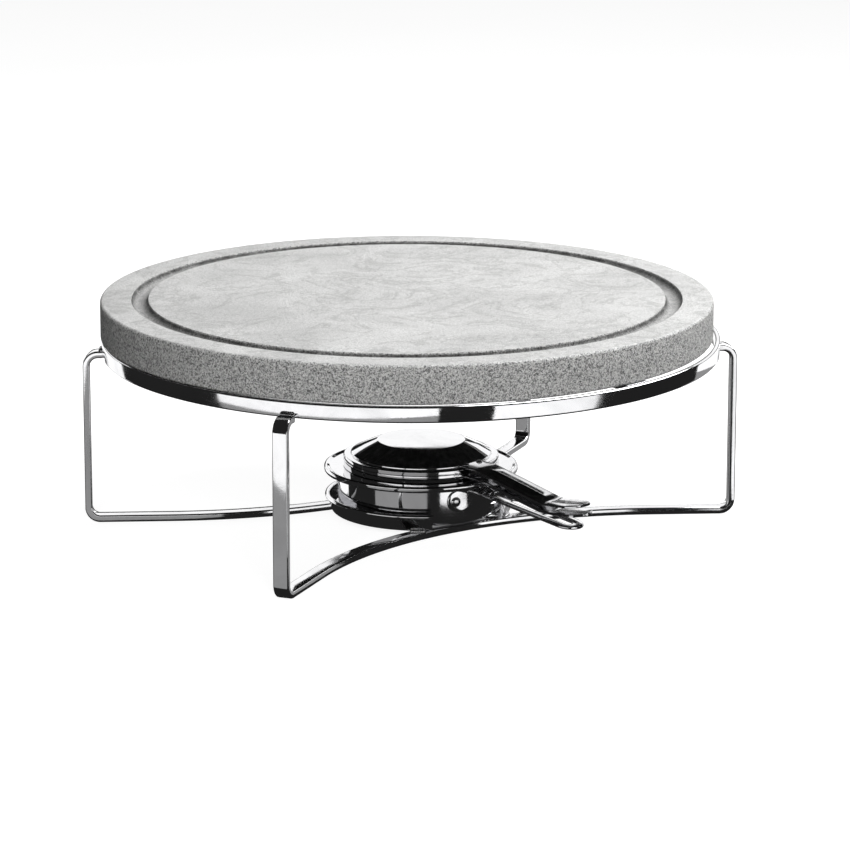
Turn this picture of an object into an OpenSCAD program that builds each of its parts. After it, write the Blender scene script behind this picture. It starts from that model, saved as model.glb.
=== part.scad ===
// Table-top hot stone cooking grill: a round stone plate on a chromed bar stand,
// heated by a gel burner with a snuffer lid and an air regulator.
// Origin: on the table under the middle of the support ring, +Z up, front is -Y.
// Units: mm.

/* [Stone plate] */
// outer diameter of the stone
stone_d = 300; // [250:1:310]
// thickness of the stone
stone_t = 19; // [14:0.5:30]
// width of the rim outside the juice groove
groove_margin = 15.15; // [8:0.05:20]
// width of the juice groove at the surface
groove_w = 8.5; // [4:0.5:12]
// depth of the juice groove
groove_depth = 3.5; // [1:0.5:5]
// radius of the eased outer edges
stone_edge_r = 1.5; // [0.5:0.25:4]
// how far the stone lies off the ring's middle, to the left
stone_offset = 2; // [0:0.5:3]

/* [Stand] */
// how far the support ring stands out past the stone's edge
ring_margin = 1.5; // [1:0.25:4]
// height of the support ring
ring_h = 8; // [5:0.5:14]
// radial thickness of the support ring
ring_t = 2.5; // [2:0.25:4]
// radius of the ring's rounded edges
ring_edge_r = 1; // [0.4:0.1:1.2]
// height of the ring's top edge above the table
ring_top_z = 93; // [80:1:130]
// how far the legs stand out past the ring
leg_offset = 9.5; // [8.5:0.5:16]
// width of the flat bar
bar_w = 7.5; // [5:0.5:10]
// thickness of the flat bar
bar_t = 3.5; // [2.5:0.25:5]
// inner radius of the bends in the bar
bend_r = 4; // [3:0.5:8]
// how far the bar's top end overlaps the ring's side in height
stub_overlap = 1.5; // [1:0.25:2]
// half of the angle between the two legs of one bar
leg_half_angle = 57.5; // [50:0.5:70]
// direction of the middle of the front bar
stand_turn = -54.5; // [-60:0.5:-30]
// radius of the sweep of each bar on the table
sweep_r = 185; // [180:5:185]
// length of each inner lug that carries the stone, measured inward
lug_l = 10; // [6:1:16]
// width of each lug along the ring
lug_w = 14; // [8:1:20]
// thickness of each lug
lug_t = 2.5; // [2:0.25:4]
// leg of the weld fillets
weld_r = 1.6; // [1:0.1:2.2]

/* [Burner tray] */
// gap between the pot and the foot of the tray's wall
tray_clear = 2.2; // [2:0.1:5]
// outward lean of the tray wall over its height
tray_flare = 2.2; // [1:0.1:4]
// height of the tray wall
tray_h = 7.7; // [5:0.1:10]
// sheet thickness of the tray
tray_t = 1.2; // [1:0.1:1.6]
// radius of the rolled lip of the tray
tray_lip_r = 1.2; // [1:0.1:1.5]
// width of the tray's floor rim
tray_floor_w = 10.4; // [8:0.1:13]
// angle over which the tray is open under the handles
tray_gap = 62; // [50:1:66]
// direction of the middle of the opening
tray_turn = -52; // [-56:1:-46]

/* [Burner] */
// sideways place of the burner axis
burner_x = 5; // [0:0.5:8]
// front to back place of the burner axis
burner_y = 3; // [-5:0.5:8]
// direction of the handles
handle_turn = -46; // [-60:1:-35]
// outer radius of the burner pot
pot_r = 41; // [39:0.5:42]
// sheet thickness of the pot
pot_t = 1; // [0.8:0.1:1.4]
// height of the pot
pot_h = 19.8; // [17:0.1:26]
// rounding of the pot's foot
pot_foot_r = 3; // [1:0.5:5]
// how far the flange stands out past the pot, with its rolled edge
flange_out = 7; // [6:0.5:10]
// sheet thickness of the flange
flange_t = 1.2; // [1:0.1:1.6]
// radius of the flange's rolled edge
flange_roll_r = 1.6; // [1.2:0.1:2]
// radius of the flame opening
flame_r = 20; // [16:0.5:24]
// distance of the air holes' circle from the regulator ring's edge
vent_inset = 7.4; // [6.4:0.1:9]
// radius of each air hole
vent_r = 3; // [2:0.25:3.5]
// number of air holes
vent_count = 8; // [4:1:12]
// gap between the fuel cup and the pot
cup_clear = 4; // [3:0.5:8]
// height of the fuel cup
cup_h = 13; // [10:0.5:14]
// sheet thickness of the fuel cup
cup_t = 1; // [0.8:0.1:1.4]
// thickness of the wire gauze
gauze_t = 0.8; // [0.6:0.1:1.2]

/* [Regulator] */
// distance of the regulator ring's edge from the flange's edge
reg_inset = 9.6; // [8:0.1:10.5]
// sheet thickness of the regulator ring
reg_t = 1; // [0.8:0.1:1.2]
// height of the regulator ring's upstand
reg_h = 3.6; // [2.5:0.1:5]
// gap under the regulator ring
reg_gap = 0.2; // [0.1:0.05:0.3]
// turning clearance of the regulator ring on its collar
reg_clear = 0.1; // [0.05:0.01:0.15]

/* [Snuffer lid] */
// radius of the lid's flat top
lid_top_r = 21.7; // [15:0.1:26]
// width of the lid's flat step outside its slope
lid_step_w = 3.6; // [3:0.1:6]
// height of the lid above the regulator ring
lid_h = 9.4; // [8:0.1:12]
// height of the lid's rim step
lid_rim_h = 2.4; // [2:0.1:3]
// sheet thickness of the lid
lid_t = 1; // [0.8:0.1:1.4]
// depth of the lid's locating skirt inside the regulator ring
lid_skirt = 1.6; // [1:0.1:2.2]
// gap between the lid's skirt and the regulator ring
lid_gap = 0.5; // [0.3:0.1:0.8]

/* [Handles] */
// width of the three handles
handle_w = 15; // [12:0.5:18]
// sheet thickness of the handles
handle_t = 1.2; // [1:0.1:1.6]
// reach of the lid handle from the burner axis
lid_handle_reach = 112; // [100:1:125]
// reach of the regulator handle from the burner axis
reg_handle_reach = 115; // [100:1:125]
// reach of the pot handle from the burner axis
pot_handle_reach = 109; // [95:1:120]
// downward slope of the lid handle
lid_handle_slope = 10.5; // [9.5:0.5:11]
// downward slope of the regulator handle
reg_handle_slope = 10; // [10:0.5:12]
// downward slope of the pot handle
pot_handle_slope = 6; // [3:0.5:7]
// upward turn of the two upper handles' ends
tip_rise = 6; // [0:0.5:10]
// length of the upturned ends
tip_l = 22; // [14:1:28]
// width of the slot in the pot handle
slot_w = 4.5; // [3:0.5:6]
// length of the slot in the pot handle
slot_l = 38; // [20:1:42]
// depth of the turned-down sides of the two upper handles
lip_h = 0.7; // [0.4:0.1:0.9]
// height of the rib along the two upper handles
rib_h = 0.6; // [0.3:0.1:0.7]
// radius of the rivets
rivet_r = 1.5; // [1:0.1:2]
// height of a rivet head
rivet_head = 0.9; // [0.6:0.1:1.2]

/* [Hidden] */
$fn = 96;
bend_lap = 0.6;
joint_lap = 0.05;
groove_d = stone_d - 2 * groove_margin;
ring_r = stone_d / 2 + ring_margin;
ring_in_r = ring_r - ring_t;
ring_z = ring_top_z - ring_h;
leg_r = ring_r + leg_offset;
stub_top_z = ring_z + stub_overlap;
bend_out = bend_r + bar_t;
leg_len = stub_top_z - 2 * bend_out;
bend_x = leg_r - bend_out;
sweep_c = sweep_r / sin(leg_half_angle);
sweep_start = sweep_r / tan(leg_half_angle);
sweep_angle = 180 - 2 * leg_half_angle;
stone_z = ring_top_z;
groove_r = (groove_depth * groove_depth + groove_w * groove_w / 4) / (2 * groove_depth);
tray_z = bar_t;
pot_z = tray_z + tray_t;
flange_z = pot_z + pot_h;
tray_r = pot_r + tray_clear;
tray_floor_r = tray_r + tray_t - tray_floor_w;
cup_r = pot_r - pot_t - cup_clear;
flange_r = pot_r + flange_out;
reg_r = flange_r - reg_inset;
vent_circle_r = reg_r - vent_inset;
lid_slope_r = reg_r - lid_step_w;
flange_plate_r = flange_r - flange_roll_r;
neck_clear = 0.1;
neck_h = 4;
collar_r = flame_r + 2.4;
reg_z = flange_z + flange_t + reg_gap;
reg_top_z = reg_z + reg_h;
reg_in_r = collar_r + reg_clear;
keeper_z = reg_z + reg_t + 0.2;
keeper_t = 0.8;
lid_z = reg_top_z;
lid_skirt_r = reg_r - 1.2 - lid_gap;
gauze_clear = 0.2;
cup_z = pot_z + pot_t;
wad_h = cup_h - cup_t - 2 * gauze_t - 1.2;
lid_handle_z = lid_z + lid_rim_h;
reg_handle_z = flange_z + flange_t / 2 + flange_roll_r + 0.4;
pot_handle_z = flange_z - 2.2;
handle_bend_r = flange_r + 3;
reg_weld_r = 0.8;
rib_r = 1.1;
pad_h = 11;
pad_angle = 52;
rivet_angle = pad_angle / 2 - 5.5;
lid_shank_r = rivet_r - 0.5;
lid_rivet_x = reg_r - 2.1;
lid_bend_r = reg_r + 6.5;

// rectangle with round corners, from its lower left corner
module round_bar(w, h, r) {
    translate([r, 0])
        square([w - 2 * r, h]);
    translate([0, r])
        square([w, h - 2 * r]);
    for (x = [r, w - r])
        for (y = [r, h - r])
            translate([x, y])
                circle(r = r, $fn = 24);
}

// the plate, with its juice groove as part of a torus
module stone_plate() {
    color([0.62, 0.62, 0.60])
        translate([-stone_offset, 0, stone_z])
            difference() {
                rotate_extrude()
                    intersection() {
                        translate([-stone_d / 2, 0])
                            round_bar(stone_d, stone_t, stone_edge_r);
                        square([stone_d, stone_t]);
                    }
                translate([0, 0, stone_t - groove_depth + groove_r])
                    rotate_extrude()
                        translate([groove_d / 2 - groove_w / 2, 0])
                            circle(r = groove_r, $fn = 48);
            }
}

// flat bar rolled into a hoop
module support_ring() {
    color([0.80, 0.80, 0.82])
        translate([0, 0, ring_z])
            rotate_extrude()
                translate([ring_in_r, 0])
                    round_bar(ring_t, ring_h, ring_edge_r);
}

// four small plates welded inside the hoop, level with its top
module stone_lugs() {
    color([0.74, 0.74, 0.76])
        for (a = [0, 90, 180, 270])
            intersection() {
                rotate([0, 0, a + 45])
                    translate([ring_in_r - lug_l, -lug_w / 2, ring_top_z - lug_t])
                        cube([lug_l + ring_t, lug_w, lug_t]);
                cylinder(r = ring_in_r, h = ring_top_z + 1);
            }
}

// one leg with its run along the table, drawn along +X
module leg() {
    difference() {
        translate([ring_r - ring_t, -bar_w / 2, stub_top_z - bar_t])
            cube([bend_x - ring_r + ring_t, bar_w, bar_t]);
        cylinder(r = ring_r, h = ring_top_z);
    }
    translate([bend_x, bar_w / 2, stub_top_z - bend_out])
        rotate([90, 0, 0])
            rotate_extrude(angle = 90)
                translate([bend_r, 0])
                    square([bar_t, bar_w]);
    translate([leg_r - bar_t, -bar_w / 2, bend_out])
        cube([bar_t, bar_w, leg_len]);
    translate([bend_x, bar_w / 2, bend_out])
        rotate([90, 0, 0])
            rotate_extrude(angle = 90, start = 270)
                translate([bend_r, 0])
                    square([bar_t, bar_w]);
    translate([sweep_start - joint_lap, -bar_w / 2, 0])
        cube([bend_x - sweep_start + joint_lap, bar_w, bar_t]);
}

// bar bent into two legs with a sweep between them
module stand_bar(turn) {
    rotate([0, 0, turn]) {
        rotate([0, 0, leg_half_angle])
            leg();
        rotate([0, 0, -leg_half_angle])
            leg();
        translate([sweep_c, 0, 0])
            rotate_extrude(angle = sweep_angle, start = 180 - sweep_angle / 2)
                translate([sweep_r - bar_w / 2, 0])
                    square([bar_w, bar_t]);
    }
}

module front_bar() {
    color([0.78, 0.78, 0.80])
        stand_bar(stand_turn);
}

module rear_bar() {
    color([0.78, 0.78, 0.80])
        stand_bar(stand_turn + 180);
}

// fillets in the corner between the ring and each bar end
module ring_welds() {
    color([0.66, 0.66, 0.68])
        for (turn = [stand_turn, stand_turn + 180])
            for (side = [-1, 1])
                rotate([0, 0, turn + side * leg_half_angle - 1.2])
                    rotate_extrude(angle = 2.4)
                        translate([ring_r, stub_top_z])
                            intersection() {
                                circle(r = weld_r, $fn = 24);
                                square(weld_r);
                            }
}

// sheet tray with a floor rim, a leaning wall and a rolled lip
module burner_tray() {
    color([0.80, 0.80, 0.82])
        translate([burner_x, burner_y, tray_z])
            rotate_extrude(angle = 360 - tray_gap, start = tray_turn + tray_gap / 2) {
                polygon([[tray_floor_r, 0], [tray_r + tray_t, 0],
                    [tray_r + tray_t + tray_flare, tray_h], [tray_r + tray_flare, tray_h],
                    [tray_r, tray_t], [tray_floor_r, tray_t]]);
                translate([tray_r + tray_flare + tray_t / 2 + 0.4, tray_h])
                    circle(r = tray_lip_r, $fn = 24);
            }
}

// fillets where the tray's wall stands on the bars
module tray_welds() {
    color([0.66, 0.66, 0.68])
        intersection() {
            translate([burner_x, burner_y, tray_z])
                rotate_extrude(angle = 360 - tray_gap, start = tray_turn + tray_gap / 2)
                    polygon([[tray_r + tray_t, 0], [tray_r + tray_t + weld_r, 0],
                        [tray_r + tray_t + tray_flare * weld_r / tray_h, weld_r]]);
            for (turn = [stand_turn, stand_turn + 180])
                rotate([0, 0, turn])
                    translate([sweep_c, 0, 0])
                        rotate_extrude(angle = sweep_angle, start = 180 - sweep_angle / 2)
                            translate([sweep_r - bar_w / 2 + 0.5, 0])
                                square([bar_w - 1, bar_t + weld_r + 1]);
        }
}

// places the children on the burner axis
module on_burner(z) {
    translate([burner_x, burner_y, z])
        children();
}

// places the children on the burner axis with +X along the handles
module along_handles(z) {
    translate([burner_x, burner_y, z])
        rotate([0, 0, handle_turn])
            children();
}

// pins through the pot wall, for holes and rivets
module pot_pins(r, from, to) {
    for (a = [-rivet_angle, rivet_angle])
        rotate([0, 0, a])
            translate([from, 0, pot_h - 2.2 - pad_h / 2])
                rotate([0, 90, 0])
                    cylinder(r = r, h = to - from, $fn = 32);
}

// open pot with a rounded foot
module burner_pot() {
    color([0.82, 0.82, 0.84])
        along_handles(pot_z)
            difference() {
                rotate_extrude() {
                    square([pot_r - pot_foot_r, pot_t]);
                    translate([pot_r - pot_t, pot_foot_r])
                        square([pot_t, pot_h - pot_foot_r]);
                    intersection() {
                        translate([pot_r - pot_foot_r, pot_foot_r])
                            difference() {
                                circle(r = pot_foot_r, $fn = 48);
                                circle(r = pot_foot_r - pot_t, $fn = 48);
                            }
                        translate([pot_r - pot_foot_r, 0])
                            square(pot_foot_r);
                    }
                }
                pot_pins(rivet_r, pot_r - pot_foot_r, pot_r + 2);
            }
}

// ring of upright holes
module vent_holes(z, h) {
    for (i = [0:vent_count - 1])
        rotate([0, 0, i * 360 / vent_count])
            translate([vent_circle_r, 0, z])
                cylinder(r = vent_r, h = h, $fn = 32);
}

// flange with rolled edge, neck inside the pot and collar round the flame opening
module pot_flange() {
    color([0.84, 0.84, 0.86])
        along_handles(flange_z)
            difference() {
                rotate_extrude() {
                    translate([flame_r, 0])
                        square([flange_plate_r - flame_r, flange_t]);
                    translate([pot_r - pot_t - neck_clear - 1, -neck_h])
                        square([1, neck_h + flange_t / 2]);
                    translate([flame_r, 0])
                        square([collar_r - flame_r, keeper_z + keeper_t - flange_z]);
                    translate([flange_plate_r, flange_t / 2])
                        circle(r = flange_roll_r, $fn = 32);
                }
                vent_holes(-1, flange_t + 2);
            }
}

// plain cup that holds the wadding
module fuel_cup() {
    color([0.70, 0.70, 0.70])
        on_burner(cup_z)
            difference() {
                cylinder(r = cup_r, h = cup_h);
                translate([0, 0, cup_t])
                    cylinder(r = cup_r - cup_t, h = cup_h);
            }
}

// absorbent pad in the cup
module fuel_wadding() {
    color([0.92, 0.90, 0.84])
        on_burner(cup_z + cup_t)
            cylinder(r = cup_r - cup_t - gauze_clear, h = wad_h);
}

// wire cloth over the wadding
module wire_gauze() {
    color([0.60, 0.58, 0.52])
        on_burner(cup_z + cup_t + wad_h)
            cylinder(r = cup_r - cup_t - gauze_clear, h = gauze_t);
}

// spring ring that holds the gauze down
module gauze_clip() {
    color([0.62, 0.62, 0.64])
        on_burner(cup_z + cup_t + wad_h + gauze_t)
            rotate_extrude()
                translate([cup_r - cup_t - gauze_clear - 2, 0])
                    square([2, 1.2]);
}

// ring pressed on the collar to keep the regulator ring down
module regulator_keeper() {
    color([0.70, 0.70, 0.72])
        on_burner(keeper_z)
            rotate_extrude()
                translate([collar_r, 0])
                    square([2.6, keeper_t]);
}

// outline of a handle that ends in a half round
module round_end_plate(from, to, w, t) {
    translate([from, -w / 2, 0])
        cube([to - w / 2 - from, w, t]);
    translate([to - w / 2, 0, 0])
        cylinder(r = w / 2, h = t, $fn = 64);
}

// slotted plate with a pad that follows the pot wall
module pot_handle() {
    color([0.84, 0.84, 0.86])
        along_handles(pot_z)
            difference() {
                union() {
                    rotate_extrude(angle = pad_angle, start = -pad_angle / 2)
                        translate([pot_r, pot_h - 2.2 - pad_h])
                            square([handle_t, pad_h]);
                    difference() {
                        translate([pot_r, 0, pot_h - 2.2])
                            rotate([0, pot_handle_slope, 0])
                                translate([-pot_r, 0, -handle_t])
                                    difference() {
                                        round_end_plate(pot_r - 2, pot_handle_reach, handle_w, handle_t);
                                        translate([pot_handle_reach - handle_w / 2 - slot_l, 0, -1])
                                            round_end_plate(0, slot_l + slot_w / 2, slot_w, handle_t + 2);
                                    }
                        cylinder(r = pot_r, h = pot_h + 5);
                    }
                }
                pot_pins(rivet_r, pot_r - 1, pot_r + 3);
            }
}

// pins with a head outside and inside the pot wall
module pot_handle_rivets() {
    color([0.74, 0.74, 0.76])
        along_handles(pot_z) {
            pot_pins(rivet_r, pot_r - pot_t, pot_r + handle_t);
            difference() {
                pot_pins(rivet_r + 1, pot_r + handle_t / 2, pot_r + handle_t + rivet_head);
                cylinder(r = pot_r + handle_t, h = pot_h);
            }
        }
}

// upper handle: sloping web with turned-down sides, a middle rib and an upturned end
module channel_handle(from, reach, z, slope, point) {
    run = (reach - tip_l - from) / cos(slope);
    translate([from, 0, z])
        rotate([0, slope, 0]) {
            translate([-bend_lap, -handle_w / 2, -handle_t])
                cube([run + bend_lap, handle_w, handle_t]);
            for (y = [-handle_w / 2, handle_w / 2 - handle_t])
                translate([0, y, -handle_t - lip_h])
                    cube([run, handle_t, lip_h + handle_t / 2]);
            translate([4, 0, rib_h - rib_r])
                rotate([0, 90, 0])
                    cylinder(r = rib_r, h = run - 8, $fn = 32);
            translate([run, 0, 0])
                rotate([0, -slope - tip_rise, 0])
                    translate([0, 0, -handle_t])
                        linear_extrude(height = handle_t)
                            polygon([[-bend_lap, 0.3 - handle_w / 2], [tip_l - 6, -handle_w / 2 - 0.4],
                                [tip_l - 1.5, -point], [tip_l, 0], [tip_l - 1.5, point],
                                [tip_l - 6, handle_w / 2 + 0.4], [-bend_lap, handle_w / 2 - 0.3]]);
        }
}

// root strip and channel handle of the regulator
module regulator_handle() {
    color([0.30, 0.30, 0.32])
        along_handles(0) {
            difference() {
                translate([reg_r - 3, -handle_w / 2, reg_handle_z])
                    cube([handle_bend_r - reg_r + 3, handle_w, handle_t]);
                cylinder(r = reg_r, h = reg_handle_z + 5);
            }
            channel_handle(handle_bend_r, reg_handle_reach, reg_handle_z + handle_t,
                reg_handle_slope, 3);
        }
}

// fillet on top of the regulator handle's root, against the upstand
module regulator_weld() {
    color([0.66, 0.66, 0.68])
        along_handles(reg_handle_z + handle_t)
            rotate_extrude(angle = 14, start = -7)
                translate([reg_r, 0])
                    intersection() {
                        circle(r = reg_weld_r, $fn = 24);
                        square(reg_weld_r);
                    }
}

// turning ring with air holes and an upstand that carries the lid
module regulator_ring() {
    color([0.78, 0.78, 0.80])
        along_handles(reg_z)
            difference() {
                rotate_extrude() {
                    translate([reg_in_r, 0])
                        square([reg_r - reg_in_r, reg_t]);
                    translate([reg_r - 1.2, 0])
                        square([1.2, reg_h]);
                }
                vent_holes(-1, reg_t + 2);
            }
}

// lid with a flat top, a slope, a step and a skirt inside the regulator ring
module snuffer_lid() {
    color([0.82, 0.82, 0.84])
        along_handles(lid_z)
            difference() {
                lid_shell();
                lid_pins(lid_shank_r, 1);
            }
}

// turned profile of the lid
module lid_shell() {
    rotate_extrude()
        polygon([[0, lid_h], [lid_top_r, lid_h], [lid_slope_r, lid_rim_h + 0.8],
            [lid_slope_r, lid_rim_h], [reg_r - 0.6, lid_rim_h], [reg_r, lid_rim_h - 0.6],
            [reg_r, 0.6], [reg_r - 0.6, 0], [lid_skirt_r, 0], [lid_skirt_r, -lid_skirt],
            [lid_skirt_r - lid_t, -lid_skirt], [lid_skirt_r - lid_t, lid_rim_h - lid_t],
            [lid_slope_r - lid_t, lid_rim_h - lid_t],
            [lid_slope_r - lid_t, lid_rim_h + 0.4], [lid_top_r - 0.3, lid_h - lid_t],
            [0, lid_h - lid_t]]);
}

// root strip on the lid's step and channel handle
module lid_handle() {
    color([0.30, 0.30, 0.32])
        along_handles(0) {
            difference() {
                translate([lid_slope_r - 3, -handle_w / 2, lid_handle_z])
                    cube([lid_bend_r - lid_slope_r + 3, handle_w, handle_t]);
                cylinder(r = lid_slope_r, h = lid_handle_z + 5);
                translate([0, 0, lid_z])
                    lid_pins(lid_shank_r, handle_t + 1);
            }
            channel_handle(lid_bend_r, lid_handle_reach, lid_handle_z + handle_t,
                lid_handle_slope, 5);
        }
}

// shanks through the lid handle's root and the lid's step
module lid_pins(r, top) {
    for (y = [-4.5, 4.5])
        translate([lid_rivet_x, y, lid_rim_h - lid_t])
            cylinder(r = r, h = top + lid_t, $fn = 32);
}

// rivets that hold the handle on the lid's step
module lid_rivets() {
    color([0.74, 0.74, 0.76])
        along_handles(lid_z) {
            lid_pins(lid_shank_r, handle_t);
            for (y = [-4.5, 4.5])
                translate([lid_rivet_x, y, lid_rim_h + handle_t])
                    cylinder(r1 = lid_shank_r + 0.6, r2 = lid_shank_r, h = rivet_head, $fn = 32);
        }
}

stone_plate();
support_ring();
stone_lugs();
front_bar();
rear_bar();
ring_welds();
burner_tray();
tray_welds();
burner_pot();
pot_flange();
fuel_cup();
fuel_wadding();
wire_gauze();
gauze_clip();
regulator_keeper();
pot_handle();
pot_handle_rivets();
regulator_ring();
regulator_handle();
regulator_weld();
snuffer_lid();
lid_handle();
lid_rivets();
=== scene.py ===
"""Hot stone grill: honed stone plate, chromed bar stand and gel burner."""

import math

import bmesh
import bpy
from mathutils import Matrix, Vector, noise


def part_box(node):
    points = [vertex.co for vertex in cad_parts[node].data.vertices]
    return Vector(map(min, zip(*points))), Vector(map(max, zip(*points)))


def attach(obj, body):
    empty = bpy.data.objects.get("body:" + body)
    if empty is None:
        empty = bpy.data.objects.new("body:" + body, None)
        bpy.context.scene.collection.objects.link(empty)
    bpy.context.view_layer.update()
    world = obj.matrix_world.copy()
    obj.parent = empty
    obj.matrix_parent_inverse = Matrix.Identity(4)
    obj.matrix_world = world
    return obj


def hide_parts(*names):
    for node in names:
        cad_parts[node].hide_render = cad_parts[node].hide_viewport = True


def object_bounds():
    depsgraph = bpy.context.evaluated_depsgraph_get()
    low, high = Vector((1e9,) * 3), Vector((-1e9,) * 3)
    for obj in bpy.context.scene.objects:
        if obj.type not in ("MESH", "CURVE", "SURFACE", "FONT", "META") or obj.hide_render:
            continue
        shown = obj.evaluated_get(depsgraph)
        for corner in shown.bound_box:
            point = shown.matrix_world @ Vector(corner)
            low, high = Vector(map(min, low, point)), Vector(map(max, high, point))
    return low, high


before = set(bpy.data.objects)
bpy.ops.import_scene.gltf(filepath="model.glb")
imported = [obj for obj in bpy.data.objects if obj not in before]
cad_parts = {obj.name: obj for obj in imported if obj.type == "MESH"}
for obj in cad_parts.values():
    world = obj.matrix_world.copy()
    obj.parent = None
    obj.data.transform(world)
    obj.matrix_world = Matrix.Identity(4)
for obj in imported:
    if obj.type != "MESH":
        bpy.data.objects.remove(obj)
CAD_BOX = [list(corner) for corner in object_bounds()]

bl_info = {
    "name": "Hot Stone Grill",
    "version": (1, 0, 0),
    "blender": (4, 5, 0),
    "location": "3D View > Sidebar > Hot Stone Grill",
    "description": "Builds a table-top hot stone grill over its CAD frame",
    "category": "Add Mesh",
}

MM = 0.001


def box_mm(node):
    """Lowest and highest corner of a CAD node, in millimetres."""
    low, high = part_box(node)
    return Vector(low) / MM, Vector(high) / MM


def polar(radius, degrees, axis=(0.0, 0.0)):
    """Point on a circle about an upright axis."""
    angle = math.radians(degrees)
    return axis[0] + radius * math.cos(angle), axis[1] + radius * math.sin(angle)


POT_LOW, POT_HIGH = box_mm("burner_pot")
BURNER = ((POT_LOW.x + POT_HIGH.x) / 2, (POT_LOW.y + POT_HIGH.y) / 2)
HANDLE_TURN = -46.0
HANDLE_HALF_W = 7.5
SHEET_T = 1.2
THIN_SHEET_T = 1.0

BAR_TURNS = (-54.5, 125.5)
LEG_HALF_ANGLE = 57.5
SWEEP_R = 185.0
SWEEP_CENTRE = SWEEP_R / math.sin(math.radians(LEG_HALF_ANGLE))
BAR_HALF_W, BAR_T = 3.75, 3.5
BAR_BEND_R = 4.0
LEG_R, RING_R = 161.0, 151.5
RING_T = 2.5

GROOVE_MARGIN, GROOVE_HALF_W = 15.15, 4.25
TRAY_FOOT_R, TRAY_FLOOR_R = 44.4, 34.0
TRAY_TURN, TRAY_GAP = -52.0, 62.0
VENT_R, VENT_CIRCLE_R, VENT_COUNT = 3.0, 31.0, 8
FLAME_R, COLLAR_R = 20.0, 22.4
PAD_H, PAD_HALF_ANGLE, RIVET_TURN = 11.0, 26.0, 20.5


# ---------------------------------------------------------------- mesh making

def finished_piece(name, verts, faces, crease=32.0, smooth=True):
    """Mesh object from points in millimetres, with outward faces and creased edges."""
    mesh = bpy.data.meshes.new(name)
    mesh.from_pydata([Vector(v) * MM for v in verts], [], faces)
    work = bmesh.new()
    work.from_mesh(mesh)
    bmesh.ops.remove_doubles(work, verts=work.verts, dist=1e-7)
    bmesh.ops.recalc_face_normals(work, faces=work.faces)
    work.to_mesh(mesh)
    work.free()
    if smooth:
        mesh.shade_smooth()
        mesh.set_sharp_from_angle(angle=math.radians(crease))
    piece = bpy.data.objects.new(name, mesh)
    bpy.context.scene.collection.objects.link(piece)
    return piece


def eased(corners, steps=5):
    """Closed outline with every corner (a, b, fillet) rounded by its own radius."""
    points = []
    count = len(corners)
    for i, (a, b, fillet) in enumerate(corners):
        here = Vector((a, b))
        if fillet <= 0:
            points.append((a, b))
            continue
        back = Vector(corners[i - 1][:2]) - here
        ahead = Vector(corners[(i + 1) % count][:2]) - here
        half = back.angle(ahead) / 2
        if half > math.radians(88):
            points.append((a, b))
            continue
        reach = min(fillet / math.tan(half), 0.48 * back.length, 0.48 * ahead.length)
        radius = reach * math.tan(half)
        middle = here + (back.normalized() + ahead.normalized()).normalized() * (
            radius / math.sin(half))
        first = here + back.normalized() * reach - middle
        last = here + ahead.normalized() * reach - middle
        span = first.angle(last)
        for k in range(steps + 1):
            t = k / steps
            spoke = (first * math.sin((1 - t) * span) + last * math.sin(t * span)) / math.sin(span)
            points.append(tuple(middle + spoke))
    return points


def arc(centre, radius, start, end, steps):
    """Points of an arc in the profile plane, in degrees, without fillets."""
    return [(*polar(radius, start + (end - start) * k / steps, centre), 0)
            for k in range(steps + 1)]


def turned(name, outline, axis=(0.0, 0.0), start=0.0, sweep=360.0, steps=192, crease=32.0):
    """Profile (radius, height) turned about an upright axis, as a whole or a part turn."""
    whole = sweep >= 360.0
    rows = steps if whole else steps + 1
    verts, rings = [], []
    for radius, height in outline:
        if radius < 1e-6:
            rings.append([len(verts)] * rows)
            verts.append((axis[0], axis[1], height))
            continue
        rings.append(list(range(len(verts), len(verts) + rows)))
        verts += [(*polar(radius, start + sweep * i / steps, axis), height) for i in range(rows)]
    faces = []
    for j, ring in enumerate(rings):
        nxt = rings[(j + 1) % len(rings)]
        if ring[0] == ring[-1] and nxt[0] == nxt[-1]:
            continue
        for i in range(steps):
            k = (i + 1) % rows
            loop = [ring[i], nxt[i], nxt[k], ring[k]]
            faces.append([v for n, v in enumerate(loop) if v not in loop[:n]])
    if not whole:
        faces.append([ring[0] for ring in rings])
        faces.append([ring[-1] for ring in reversed(rings)])
    return finished_piece(name, verts, faces, crease)


def lofted(name, loops, closed=False, crease=32.0):
    """Skin over loops of equal count, capped unless it closes on itself."""
    count = len(loops[0])
    verts = [p for loop in loops for p in loop]
    faces = []
    for j in range(len(loops) if closed else len(loops) - 1):
        k = (j + 1) % len(loops)
        for i in range(count):
            n = (i + 1) % count
            faces.append([j * count + i, j * count + n, k * count + n, k * count + i])
    if not closed:
        faces.append(list(range(count))[::-1])
        faces.append([(len(loops) - 1) * count + i for i in range(count)])
    return finished_piece(name, verts, faces, crease)


def bead(name, path, radius, ripple=0.12, pitch=1.1, sides=12):
    """Weld bead along a path, rippled and thinned at both ends."""
    points = [Vector(p) for p in path]
    loops, run = [], 0.0
    length = sum((points[i + 1] - points[i]).length for i in range(len(points) - 1))
    for i, p in enumerate(points):
        ahead = points[min(i + 1, len(points) - 1)] - points[max(i - 1, 0)]
        side = ahead.cross(Vector((0, 0, 1)))
        if side.length < 1e-6:
            side = Vector((1, 0, 0))
        side.normalize()
        up = side.cross(ahead).normalized()
        if i:
            run += (p - points[i - 1]).length
        end = min(run, length - run) / radius
        taper = math.sqrt(max(0.02, 1 - (1 - min(end, 1.0)) ** 2))
        r = radius * taper * (1 + ripple * (abs(math.sin(math.pi * run / pitch)) - 0.6))
        loops.append([p + side * (r * math.cos(2 * math.pi * k / sides))
                      + up * (r * math.sin(2 * math.pi * k / sides)) for k in range(sides)])
    return lofted(name, loops, crease=80.0)


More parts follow.
